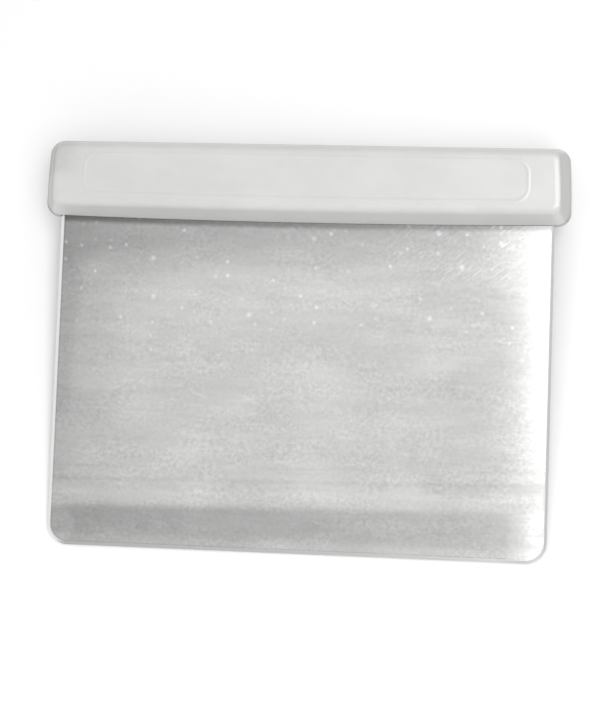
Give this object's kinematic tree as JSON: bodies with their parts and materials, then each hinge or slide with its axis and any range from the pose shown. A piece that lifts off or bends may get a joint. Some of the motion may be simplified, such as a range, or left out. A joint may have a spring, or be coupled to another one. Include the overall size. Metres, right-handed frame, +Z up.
{
  "type": "bench scraper",
  "caption": "Bench scraper: a broad rectangular steel blade with rounded lower corners, moulded into a straight plastic bar handle with a plain panel, framed by a fine raised bead, on each face.",
  "frame": {"origin": "centre of the scraper's footprint, on the surface it lies on", "axes": "+X along the working edge, +Y from the working edge towards the handle, +Z up. It lies on its working edge and on the back of its handle, so the blade is tilted 4.90 degrees about X."},
  "size_m": [0.1622, 0.1252, 0.0203],
  "materials": {
    "blade_steel": "satin stainless sheet, fine grain along the working edge, ground band at the edge",
    "handle_plastic": "white moulded polypropylene, low sheen"
  },
  "bodies": {
    "root": {"blade": "blade_steel", "handle": "handle_plastic"}
  },
  "joints": []
}
